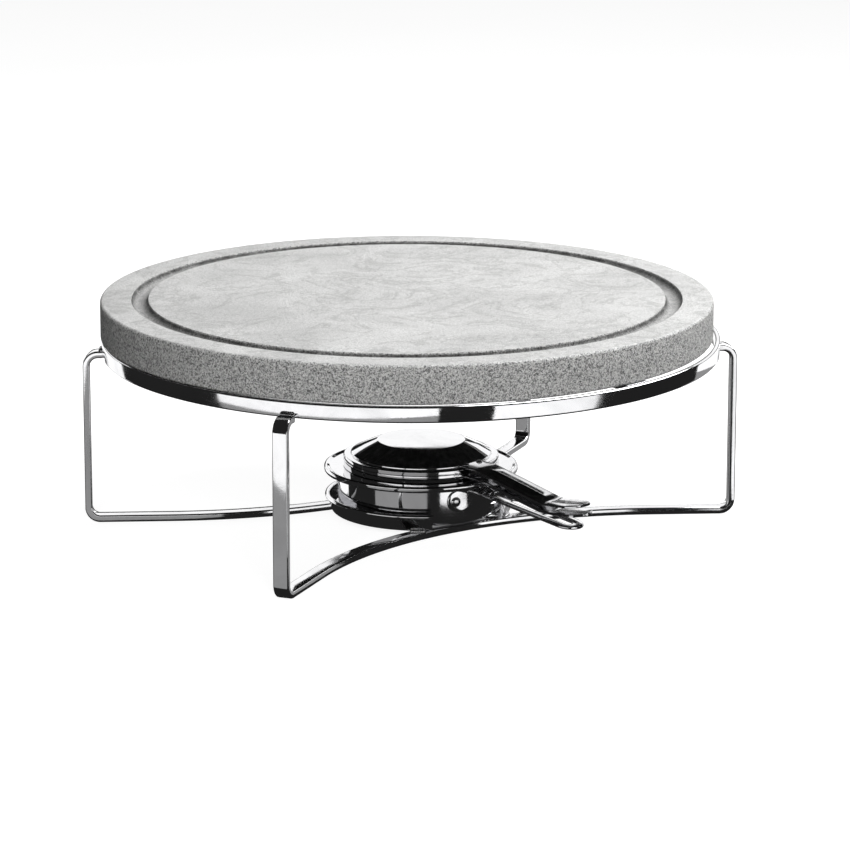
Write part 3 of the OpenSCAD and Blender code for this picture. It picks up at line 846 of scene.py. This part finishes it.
class GRILL_OT_stand(bpy.types.Operator):
    """Support hoop, lugs, two bent bars and their weld beads"""

    bl_idname = "grill.stand"
    bl_label = "Bar stand"

    def execute(self, context):
        settings = context.scene.grill_stand
        chrome = chromed_bar()
        low, high = box_mm("support_ring")
        radius = (high.x - low.x) / 2
        hoop = turned("Support_Hoop", eased([
            (radius - RING_T, low.z, 1.0), (radius, low.z, 1.0),
            (radius, high.z, 1.0), (radius - RING_T, high.z, 1.0)], 6), steps=360)
        mounted(hoop, "stand", "stand_chrome", chrome, "support_ring")
        for name, node, turn in zip(("Front_Bar", "Rear_Bar"), ("front_bar", "rear_bar"),
                                    BAR_TURNS):
            bar = self.bent_bar(name, turn, settings.bar_edge / MM)
            mounted(bar, "stand", "stand_chrome", chrome, node)
        lugs = bpy.data.objects["stone_lugs"]
        lugs.data.materials.clear()
        lugs.data.materials.append(chrome)
        self.ring_beads(radius, box_mm("front_bar")[1].z)
        return {"FINISHED"}

    def bent_bar(self, name, turn, edge):
        """Flat bar with rounded edges swept along its whole bent line."""
        w, t = BAR_HALF_W, BAR_T / 2
        section = eased([(-w, -t, edge), (w, -t, edge), (w, t, edge), (-w, t, edge)], 4)
        loops = []
        previous = None
        for point, across, up in bar_frames(turn):
            if previous and previous.dot(across) < 0:
                across = -across
                up = -up
            previous = across
            loops.append([point + across * a + up * b for a, b in section])
        return lofted(name, loops)

    def ring_beads(self, radius, top):
        """Fillet beads between the hoop and the four bar ends."""
        beads = []
        for turn in BAR_TURNS:
            for side in (-1, 1):
                angle = turn + side * LEG_HALF_ANGLE
                path = [(*polar(radius + 0.25, angle - 1.35 + 2.7 * k / 36), top + 0.2)
                        for k in range(37)]
                beads.append(bead("Ring_Bead", path, 1.35))
        mounted(joined("Ring_Weld_Beads", beads), "stand", "weld", weld_metal(), "ring_welds")


class GRILL_OT_tray(bpy.types.Operator):
    """Open ring tray with a rolled lip, welded on the bars"""

    bl_idname = "grill.tray"
    bl_label = "Burner tray"

    def execute(self, context):
        low, high = box_mm("burner_tray")
        lip_r = 1.2
        lip = (TRAY_FOOT_R + 2.0, high.z - lip_r)
        floor = low.z + SHEET_T
        outline = [(TRAY_FLOOR_R, low.z, 0.3), (TRAY_FOOT_R, low.z, 1.8)]
        outline += arc(lip, lip_r, -115, 175, 20)
        outline += [(TRAY_FOOT_R - 1.05, floor, 1.0), (TRAY_FLOOR_R, floor, 0.3)]
        tray = turned("Burner_Tray", eased(outline, 5), BURNER, TRAY_TURN + TRAY_GAP / 2,
                      360 - TRAY_GAP, 240)
        mounted(tray, "stand", "burner_steel", burner_steel(), "burner_tray")
        beads = []
        for turn in BAR_TURNS:
            middle = Vector(polar(SWEEP_CENTRE, turn)) - Vector(BURNER)
            reach = (TRAY_FOOT_R ** 2 + middle.length ** 2 - SWEEP_R ** 2) / (
                2 * TRAY_FOOT_R * middle.length)
            spread = math.degrees(math.acos(reach))
            heading = math.degrees(math.atan2(middle.y, middle.x))
            for angle in (heading - spread, heading + spread):
                path = [(*polar(TRAY_FOOT_R + 0.35, angle - 5 + 10 * k / 60, BURNER), low.z + 0.25)
                        for k in range(61)]
                beads.append(bead("Tray_Bead", path, 1.1))
        mounted(joined("Tray_Weld_Beads", beads), "stand", "weld", weld_metal(), "tray_welds")
        return {"FINISHED"}


class GRILL_OT_pot(bpy.types.Operator):
    """Burner pot, its flange, the keeper ring and the riveted slotted handle"""

    bl_idname = "grill.pot"
    bl_label = "Burner pot"

    def execute(self, context):
        settings = context.scene.grill_burner
        steel = burner_steel()
        low, high = box_mm("burner_pot")
        radius = (high.x - low.x) / 2
        inner = radius - THIN_SHEET_T
        pot = turned("Burner_Pot", eased([
            (0, low.z, 0), (radius, low.z, 3.0), (radius, high.z, 0.1), (inner, high.z, 0.1),
            (inner, low.z + THIN_SHEET_T, 2.0), (0, low.z + THIN_SHEET_T, 0)], 8),
            BURNER, steps=256)
        mounted(pot, "burner", "burner_steel", steel, "burner_pot")
        self.flange(steel)
        low, high = box_mm("regulator_keeper")
        keeper = turned("Keeper_Ring", eased([
            (COLLAR_R, low.z, 0.15), (COLLAR_R + 2.6, low.z, 0.2), (COLLAR_R + 2.6, high.z, 0.3),
            (COLLAR_R, high.z, 0.15)], 3), BURNER, steps=128)
        mounted(keeper, "burner", "spring_steel", spring_steel(), "regulator_keeper")
        self.handle(radius)
        self.rivets(radius, settings.rivet_radius / MM)
        return {"FINISHED"}

    def flange(self, steel):
        """Flange plate with rolled edge, collar, neck and a circle of air holes."""
        low, high = box_mm("pot_flange")
        plate = low.z + 4.0
        top = plate + SHEET_T
        outline = [(38.9, low.z, 0.3), (39.9, low.z, 0.3), (39.9, plate, 0.3)]
        outline += [(44.9, plate - 0.5, 0.6), (46.0, plate - 1.0, 0.6), (47.9, plate - 0.95, 0.9),
                    (48.0, plate + 1.5, 0.9), (46.9, plate + 2.2, 0.9), (45.2, top, 1.0),
                    (COLLAR_R, top, 0.5), (COLLAR_R, high.z, 0.4), (FLAME_R, high.z, 0.4),
                    (FLAME_R, plate, 0.5), (38.9, plate, 0.3)]
        flange = turned("Pot_Flange", eased(outline, 5), BURNER, steps=256)
        cut_through(flange, vent_cutter(plate - 2, top + 2))
        mounted(flange, "burner", "burner_steel", steel, "pot_flange")

    def handle(self, pot_r):
        """Slotted plate that leaves a rounded pad riveted to the pot's wall."""
        high = box_mm("pot_handle")[1]
        slope, thick, half, edge = 6.0, SHEET_T, HANDLE_HALF_W, 0.35
        end = 109.0 - half
        slot_end, slot_start, slot_half = 101.5, 65.75, 2.25
        root = pot_r + 0.3
        count = 26

        def ring(inset_out, inset_in, height):
            """Matching points of the outer and the slot outline at one height."""
            outer, inner = [], []
            for k in range(count):
                a = -90 + 180 * k / count
                outer.append((*polar(half - inset_out, a, (end, 0)), height))
                inner.append((*polar(slot_half + inset_in, a, (slot_end, 0)), height))
            for k in range(count):
                t = k / count
                outer.append((end + (root - end) * t, half - inset_out, height))
                inner.append((slot_end + (slot_start - slot_end) * t, slot_half + inset_in, height))
            for k in range(count):
                a = 90 + 180 * k / count
                outer.append((root, (half - inset_out) * (1 - 2 * k / count), height))
                inner.append((*polar(slot_half + inset_in, a, (slot_start, 0)), height))
            for k in range(count):
                t = k / count
                outer.append((root + (end - root) * t, -half + inset_out, height))
                inner.append((slot_start + (slot_end - slot_start) * t, -slot_half - inset_in,
                              height))
            return outer, inner

        levels = [ring(edge, edge, 0.0), ring(0.1, 0.1, -0.1), ring(0.0, 0.0, -edge),
                  ring(0.0, 0.0, edge - thick), ring(0.1, 0.1, 0.1 - thick),
                  ring(edge, edge, -thick)]
        tilt = math.radians(slope)
        turn = math.radians(HANDLE_TURN)

        def placed(point):
            x, y, z = point
            along = pot_r + (x - pot_r) * math.cos(tilt) + z * math.sin(tilt)
            rise = high.z - (x - pot_r) * math.sin(tilt) + z * math.cos(tilt)
            return (BURNER[0] + along * math.cos(turn) - y * math.sin(turn),
                    BURNER[1] + along * math.sin(turn) + y * math.cos(turn), rise)

        loops = []
        for i in range(4 * count):
            outline = [outer[i] for outer, _ in levels] + [inner[i] for _, inner in levels[::-1]]
            loops.append([placed(p) for p in outline])
        plate = lofted("Handle_Plate", loops, closed=True, crease=40.0)
        pad = self.pad(pot_r, high.z)
        piece = joined("Pot_Handle", [plate, pad])
        mounted(piece, "burner", "burner_steel", burner_steel(), "pot_handle")

    def pad(self, pot_r, top):
        """Strip along the pot's wall with half-round ends and softened edges."""
        half_z = PAD_H / 2
        middle = top - half_z
        straight = math.radians(PAD_HALF_ANGLE) * pot_r - half_z
        corners = []
        for side in (1, -1):
            for k in range(25):
                a = math.radians(-90 + 180 * k / 24)
                corners.append((side * (straight + half_z * math.cos(a)),
                                side * half_z * math.sin(a)))

        def row(shrink, radius):
            """Outline drawn in by a share and laid on a cylinder."""
            points = []
            for u, v in corners:
                angle = HANDLE_TURN + math.degrees(u * shrink[0] / pot_r)
                points.append((*polar(radius, angle, BURNER), middle + v * shrink[1]))
            return points

        def tight(inset):
            """Share of both half lengths that an inset leaves."""
            return (straight + half_z - inset) / (straight + half_z), (half_z - inset) / half_z

        full = pot_r + SHEET_T
        rows = [row((0.02, 0.05), pot_r), row((0.5, 0.5), pot_r), row((1, 1), pot_r),
                row((1, 1), full - 0.35), row(tight(0.1), full - 0.1), row(tight(0.35), full)]
        rows += [row((s, s), full) for s in (0.8, 0.6, 0.4, 0.2)]
        rows.append(row((0.02, 0.05), full))
        return lofted("Handle_Pad", rows, crease=40.0)

    def rivets(self, pot_r, head):
        """Two domed rivet heads on the pad."""
        low, high = box_mm("pot_handle_rivets")
        middle = (low.z + high.z) / 2
        heads = []
        for side in (-RIVET_TURN, RIVET_TURN):
            angle = math.radians(HANDLE_TURN + side)
            out = Vector((math.cos(angle), math.sin(angle), 0))
            across = Vector((0, 0, 1)).cross(out)
            loops = []
            for share, rise in ((1.0, -0.35), (1.0, 0.12), (0.93, 0.34), (0.78, 0.58),
                                (0.55, 0.78), (0.28, 0.88), (0.05, 0.9)):
                centre = Vector((*BURNER, middle)) + out * (pot_r + SHEET_T + rise)
                loops.append([centre + across * (head * share * math.cos(2 * math.pi * k / 40))
                              + Vector((0, 0, head * share * math.sin(2 * math.pi * k / 40)))
                              for k in range(40)])
            heads.append(lofted("Rivet_Head", loops, crease=60.0))
        mounted(joined("Pot_Rivets", heads), "burner", "rivet", rivet_steel(),
                "pot_handle_rivets")


class GRILL_OT_fuel(bpy.types.Operator):
    """Fuel cup with its wadding, woven gauze and spring clip"""

    bl_idname = "grill.fuel"
    bl_label = "Fuel cup"

    def execute(self, context):
        low, high = box_mm("fuel_cup")
        radius = (high.x - low.x) / 2
        inner = radius - THIN_SHEET_T
        cup = turned("Fuel_Cup", eased([
            (0, low.z, 0), (radius, low.z, 0.9), (radius, high.z, 0.45), (inner, high.z, 0.45),
            (inner, low.z + THIN_SHEET_T, 0.5), (0, low.z + THIN_SHEET_T, 0)], 5),
            BURNER, steps=160)
        mounted(cup, "burner", "cup_aluminium", cup_aluminium(), "fuel_cup")
        self.wadding()
        self.gauze(context.scene.grill_burner.gauze_pitch / MM)
        self.clip()
        return {"FINISHED"}

    def wadding(self):
        """Felted pad with an uneven top."""
        low, high = box_mm("fuel_wadding")
        radius = (high.x - low.x) / 2
        rows = [(0, low.z), (radius - 0.4, low.z), (radius, low.z + 0.6), (radius, high.z - 1.4),
                (radius - 0.5, high.z - 0.6)]
        rows += [(radius * (1 - k / 24) - 0.6 * (1 - k / 24), high.z - 0.3) for k in range(1, 24)]
        pad = turned("Wadding_Pad", rows + [(0, high.z - 0.3)], BURNER, steps=160, crease=80.0)
        for vert in pad.data.vertices:
            if vert.co.z / MM > high.z - 0.7:
                spot = Vector(vert.co) / MM
                lift = noise.noise(spot * 0.5) * 0.5 + noise.noise(spot * 1.9) * 0.35
                vert.co.z = min(vert.co.z + lift * 0.5 * MM, high.z * MM)
        mounted(pad, "burner", "wadding", felted_wadding(), "fuel_wadding")

    def gauze(self, pitch):
        """Plain-woven wire cloth: every wire runs over and under the next."""
        low, high = box_mm("wire_gauze")
        radius = (high.x - low.x) / 2 - 0.2
        wire = (high.z - low.z) / 4
        middle = (low.z + high.z) / 2
        verts, faces = [], []
        lines = int(radius / pitch)
        for way in (0, 1):
            for n in range(-lines, lines + 1):
                offset = n * pitch
                reach = math.sqrt(max(radius ** 2 - offset ** 2, 0.0))
                if reach < pitch:
                    continue
                steps = max(4, int(2 * reach / (pitch / 2)))
                first = len(verts)
                for k in range(steps + 1):
                    s = -reach + 2 * reach * k / steps
                    phase = math.pi * (s / pitch + n + way)
                    lift = wire * math.cos(phase)
                    for side in range(5):
                        a = 2 * math.pi * side / 5
                        across = offset + wire * math.cos(a)
                        x, y = (s, across) if way else (across, s)
                        verts.append((BURNER[0] + x, BURNER[1] + y,
                                      middle + lift + wire * 0.95 * math.sin(a)))
                for k in range(steps):
                    for side in range(5):
                        a, b = first + 5 * k + side, first + 5 * k + (side + 1) % 5
                        faces.append([a, b, b + 5, a + 5])
                faces.append([first + side for side in range(5)][::-1])
                faces.append([first + 5 * steps + side for side in range(5)])
        cloth = finished_piece("Wire_Gauze", verts, faces, crease=80.0)
        mounted(cloth, "burner", "gauze_brass", brass_wire(), "wire_gauze")

    def clip(self):
        """Split spring ring with a small gap."""
        low, high = box_mm("gauze_clip")
        radius = (high.x - low.x) / 2
        ring = turned("Gauze_Clip", eased([
            (radius - 2, low.z, 0.4), (radius, low.z, 0.4), (radius, high.z, 0.4),
            (radius - 2, high.z, 0.4)], 3), BURNER, HANDLE_TURN + 140, 350, 150)
        mounted(ring, "burner", "spring_steel", spring_steel(), "gauze_clip")


def channel_handle(name, root, bend, height, slope, reach, point):
    """Pressed handle: flat root, sloping channel with a middle rib, and an upturned tip."""
    half, thick, lip, rib = HANDLE_HALF_W, SHEET_T, 0.7, 0.6
    tip_l, tip_rise = 22.0, 6.0
    run = (reach - tip_l - bend) / math.cos(math.radians(slope))
    flat = bend - root
    total = flat + run + tip_l
    spots = []

    def eased_step(value, start, end):
        t = min(max((value - start) / (end - start), 0.0), 1.0)
        return t * t * (3 - 2 * t)

    fine = 0.25
    x, z = root, height
    stations = int(total / fine)
    for k in range(stations + 1):
        s = total * k / stations
        angle = (-slope * eased_step(s, flat - 1.2, flat + 1.8)
                 + (slope + tip_rise) * eased_step(s, flat + run - 3.0, flat + run + 3.0))
        if k:
            x += total / stations * math.cos(math.radians(angle))
            z += total / stations * math.sin(math.radians(angle))
        spots.append((s, x, z, angle))
    shift = reach - x
    turn = math.radians(HANDLE_TURN)
    loops = []
    keep = [n for n in range(len(spots)) if n % 4 == 0
            or abs(spots[n][0] - flat) < 3 or spots[n][0] > flat + run - 4]
    for n in keep:
        s, x, z, angle = spots[n]
        x += shift * s / total
        t = s - flat - run
        width = half
        if t > 0:
            shoulder, nose = tip_l - 6.0, tip_l - 1.5
            if t < shoulder:
                width = half + 0.4 * eased_step(t, 0, shoulder)
            elif t < nose:
                narrowing = ((t - shoulder) / (nose - shoulder)) ** 1.3
                width = half + 0.4 - (half + 0.4 - point) * narrowing
            else:
                width = point * math.sqrt(max(0.0, 1 - ((t - nose) / (tip_l - nose)) ** 2))
            width = max(width, 0.25)
        drop = lip * eased_step(s, flat + 0.4, flat + 5) * (1 - eased_step(t, -5, 0.5))
        swell = rib * eased_step(s, flat + 3, flat + 9) * (1 - eased_step(t, -10, -3))
        section = handle_section(width, thick, drop, swell)
        up = (-math.sin(math.radians(angle)), math.cos(math.radians(angle)))
        loop = []
        for across, rise in section:
            along = x + up[0] * rise
            loop.append((BURNER[0] + along * math.cos(turn) - across * math.sin(turn),
                         BURNER[1] + along * math.sin(turn) + across * math.cos(turn),
                         z + up[1] * rise))
        loops.append(loop)
    return lofted(name, loops, crease=40.0)


def handle_section(width, thick, drop, swell):
    """Cross-section of the pressed channel, from its top's left edge round to the bottom."""
    ease = min(0.45, width * 0.4)
    rib_half = min(1.5, width * 0.35)
    top = []
    for k in range(5):
        a = math.radians(90 * k / 4)
        top.append((-width + ease - ease * math.cos(a), -ease + ease * math.sin(a)))
    for k in range(9):
        y = -rib_half + 2 * rib_half * k / 8
        top.append((y, swell * math.cos(y / rib_half * math.pi / 2) ** 0.8 if abs(y) < rib_half
                    else 0.0))
    for k in range(5):
        a = math.radians(90 * (4 - k) / 4)
        top.append((width - ease + ease * math.cos(a), -ease + ease * math.sin(a)))
    inner = max(width - thick, width * 0.6)
    lift = min(0.2, thick * 0.2)
    edge = (width - inner) * 0.25
    bottom = [(width, -thick - drop + lift), (width - edge, -thick - drop),
              (inner + edge, -thick - drop), (inner, -thick - drop + lift * drop),
              (inner - edge * 0.6, -thick), (rib_half, -thick),
              (rib_half * 0.5, -thick + swell * 0.6), (0, -thick + swell * 0.8)]
    mirrored = [(-y, z) for y, z in bottom[-2::-1]]
    return top + bottom + mirrored


class GRILL_OT_regulator(bpy.types.Operator):
    """Air regulator ring with its holes, welded handle and bead"""

    bl_idname = "grill.regulator"
    bl_label = "Air regulator"

    def execute(self, context):
        low, high = box_mm("regulator_ring")
        outer = (high.x - low.x) / 2
        bore = COLLAR_R + 0.1
        ring = turned("Regulator_Ring", eased([
            (bore, low.z, 0.25), (outer, low.z, 0.3), (outer, high.z, 0.18),
            (outer - SHEET_T, high.z, 0.3), (outer - SHEET_T, low.z + THIN_SHEET_T, 0.4),
            (bore, low.z + THIN_SHEET_T, 0.25)], 4), BURNER, steps=256)
        cut_through(ring, vent_cutter(low.z - 2, low.z + 3))
        mounted(ring, "regulator", "burner_steel", burner_steel(), "regulator_ring")
        top = box_mm("regulator_handle")[1].z
        handle = channel_handle("Regulator_Handle", outer - 0.3, 51.0, top, 10.0, 115.0, 3.0)
        mounted(handle, "regulator", "handle_steel", handle_steel(), "regulator_handle")
        path = [(*polar(outer + 0.1, HANDLE_TURN - 7 + 14 * k / 50, BURNER), top + 0.05)
                for k in range(51)]
        mounted(bead("Regulator_Weld_Bead", path, 0.7, pitch=0.9), "regulator", "weld",
                weld_metal(), "regulator_weld")
        return {"FINISHED"}


class GRILL_OT_lid(bpy.types.Operator):
    """Snuffer lid with its riveted handle"""

    bl_idname = "grill.lid"
    bl_label = "Snuffer lid"

    def execute(self, context):
        low, high = box_mm("snuffer_lid")
        outer = (high.x - low.x) / 2
        base = low.z + 1.6
        step = base + 2.4
        crown = high.z
        lid = turned("Snuffer_Lid", eased([
            (0, crown, 0), (10.0, crown, 0), (21.7, crown, 1.1),
            (28.4, (crown + step) / 2 + 0.55, 6.0),
            (34.8, step + 0.8, 0.6), (34.8, step, 0.15), (outer - 0.4, step, 0.3),
            (outer, step - 0.5, 0.25), (outer, base + 0.3, 0.15), (outer - 0.3, base, 0.15),
            (36.7, base, 0.2), (36.7, low.z, 0.2), (35.7, low.z, 0.2), (35.7, step - 1.0, 0.3),
            (33.8, step - 1.0, 0.2), (33.8, step + 0.4, 0.3), (21.4, crown - 1.0, 0.8),
            (0, crown - 1.0, 0)], 6), BURNER, steps=256)
        mounted(lid, "lid", "burner_steel", burner_steel(), "snuffer_lid")
        top = step + 1.2
        handle = channel_handle("Lid_Handle", 34.9, outer + 6.5, top, 10.5, 112.0, 5.0)
        mounted(handle, "lid", "handle_steel", handle_steel(), "lid_handle")
        self.rivets(top, outer - 2.1)
        return {"FINISHED"}

    def rivets(self, top, place):
        """Two small domed heads on the handle's root."""
        heads = []
        for across in (-4.5, 4.5):
            turn = math.radians(HANDLE_TURN)
            centre = (BURNER[0] + place * math.cos(turn) - across * math.sin(turn),
                      BURNER[1] + place * math.sin(turn) + across * math.cos(turn))
            heads.append(turned("Lid_Rivet", [
                (0, top - 0.3), (1.6, top - 0.3), (1.6, top + 0.12), (1.48, top + 0.38),
                (1.15, top + 0.66), (0.65, top + 0.84), (0, top + 0.9)], centre, steps=40,
                crease=60.0))
        mounted(joined("Lid_Rivets", heads), "lid", "rivet", rivet_steel(), "lid_rivets")


class GRILL_PT_panel(bpy.types.Panel):
    """Lists the grill's pieces and settings in the sidebar"""

    bl_idname = "GRILL_PT_panel"
    bl_label = "Hot Stone Grill"
    bl_space_type = "VIEW_3D"
    bl_region_type = "UI"
    bl_category = "Hot Stone Grill"

    def draw(self, context):
        for group, settings in (("grill_stone", GrillStoneSettings),
                                ("grill_stand", GrillStandSettings),
                                ("grill_burner", GrillBurnerSettings),
                                ("grill_stage", GrillStageSettings)):
            box = self.layout.box()
            for name in settings.__annotations__:
                box.prop(getattr(context.scene, group), name)
        for operator in OPERATORS:
            self.layout.operator(operator.bl_idname)


GROUPS = {"grill_stone": GrillStoneSettings, "grill_stand": GrillStandSettings,
          "grill_burner": GrillBurnerSettings, "grill_stage": GrillStageSettings}
OPERATORS = (GRILL_OT_stage, GRILL_OT_stone, GRILL_OT_stand, GRILL_OT_tray, GRILL_OT_pot,
             GRILL_OT_fuel, GRILL_OT_regulator, GRILL_OT_lid)
CLASSES = (*GROUPS.values(), *OPERATORS, GRILL_PT_panel)


def register():
    for cls in CLASSES:
        bpy.utils.register_class(cls)
    for name, settings in GROUPS.items():
        setattr(bpy.types.Scene, name, bpy.props.PointerProperty(type=settings))


def unregister():
    for name in GROUPS:
        delattr(bpy.types.Scene, name)
    for cls in reversed(CLASSES):
        bpy.utils.unregister_class(cls)


def main():
    register()
    bpy.ops.grill.stage()
    bpy.ops.grill.stone()
    bpy.ops.grill.stand()
    bpy.ops.grill.tray()
    bpy.ops.grill.pot()
    bpy.ops.grill.fuel()
    bpy.ops.grill.regulator()
    bpy.ops.grill.lid()


if __name__ == "__main__":
    main()
